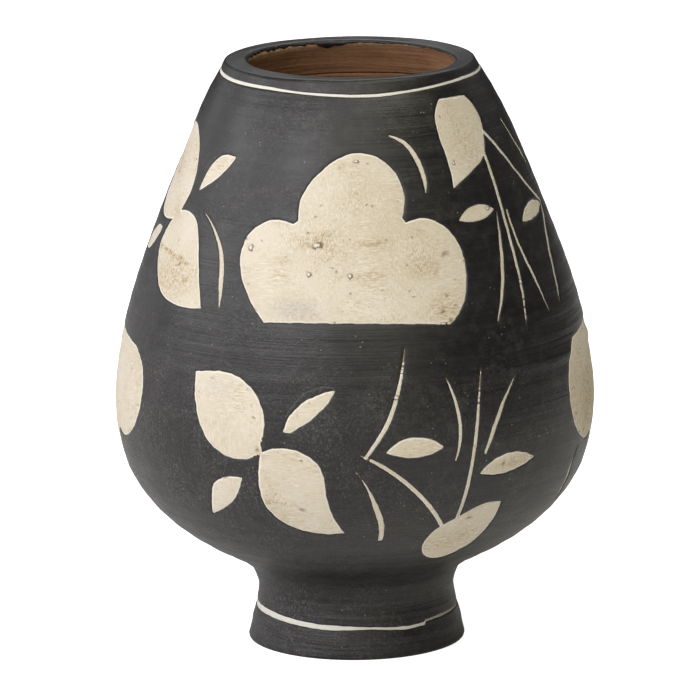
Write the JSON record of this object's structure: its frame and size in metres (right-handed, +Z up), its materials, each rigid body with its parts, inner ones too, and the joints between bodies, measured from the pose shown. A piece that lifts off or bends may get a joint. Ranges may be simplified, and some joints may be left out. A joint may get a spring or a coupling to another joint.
{
  "type": "decorated footed clay vase",
  "caption": "Round-bellied clay vase on a short foot with a wide open mouth, dark slip outside and cream leaf, petal and cloud decoration.",
  "frame": {"origin": "centre of the foot's standing ring, on the floor plane", "axes": "+Z up along the vase's axis, -Y towards the front, where the large upright cloud is, +X to the viewer's right"},
  "size_m": [0.22, 0.2206, 0.27],
  "materials": {
    "terracotta": "matte",
    "dark_slip": "satin",
    "cream_slip": "matte"
  },
  "bodies": {
    "root": {"clay_bowl": "terracotta", "clay_foot_ring": "terracotta", "clay_lip": "terracotta", "clay_shoulder": "terracotta", "cream_arc_down_left": "cream_slip", "cream_arc_down_right": "cream_slip", "cream_cloud_down_left": "cream_slip", "cream_cloud_down_right": "cream_slip", "cream_cloud_up_back": "cream_slip", "cream_cloud_up_front": "cream_slip", "cream_foot_line": "cream_slip", "cream_petals_down_back_leaf_high": "cream_slip", "cream_petals_down_back_leaf_low": "cream_slip", "cream_petals_down_back_pair": "cream_slip", "cream_petals_down_front_leaf_high": "cream_slip", "cream_petals_down_front_leaf_low": "cream_slip", "cream_petals_down_front_pair": "cream_slip", "cream_petals_up_back_arc": "cream_slip", "cream_petals_up_back_leaf_high": "cream_slip", "cream_petals_up_back_leaf_low": "cream_slip", "cream_petals_up_back_pair": "cream_slip", "cream_petals_up_left_arc": "cream_slip", "cream_petals_up_left_leaf_high": "cream_slip", "cream_petals_up_left_leaf_low": "cream_slip", "cream_petals_up_left_pair": "cream_slip", "cream_rim_line": "cream_slip", "cream_sprig_down_back_bough": "cream_slip", "cream_sprig_down_back_leaf_left": "cream_slip", "cream_sprig_down_back_leaf_right": "cream_slip", "cream_sprig_down_back_stroke_left": "cream_slip", "cream_sprig_down_back_stroke_outer": "cream_slip", "cream_sprig_down_back_stroke_right": "cream_slip", "cream_sprig_down_front_bough": "cream_slip", "cream_sprig_down_front_leaf_left": "cream_slip", "cream_sprig_down_front_leaf_right": "cream_slip", "cream_sprig_down_front_stroke_left": "cream_slip", "cream_sprig_down_front_stroke_outer": "cream_slip", "cream_sprig_down_front_stroke_right": "cream_slip", "cream_sprig_up_back_arc": "cream_slip", "cream_sprig_up_back_bough": "cream_slip", "cream_sprig_up_back_leaf_left": "cream_slip", "cream_sprig_up_back_leaf_right": "cream_slip", "cream_sprig_up_back_stroke_left": "cream_slip", "cream_sprig_up_back_stroke_outer": "cream_slip", "cream_sprig_up_back_stroke_right": "cream_slip", "cream_sprig_up_right_arc": "cream_slip", "cream_sprig_up_right_bough": "cream_slip", "cream_sprig_up_right_leaf_left": "cream_slip", "cream_sprig_up_right_leaf_right": "cream_slip", "cream_sprig_up_right_stroke_left": "cream_slip", "cream_sprig_up_right_stroke_outer": "cream_slip", "cream_sprig_up_right_stroke_right": "cream_slip", "dark_coat_body": "dark_slip", "dark_coat_foot": "dark_slip", "dark_coat_rim": "dark_slip"}
  },
  "joints": []
}
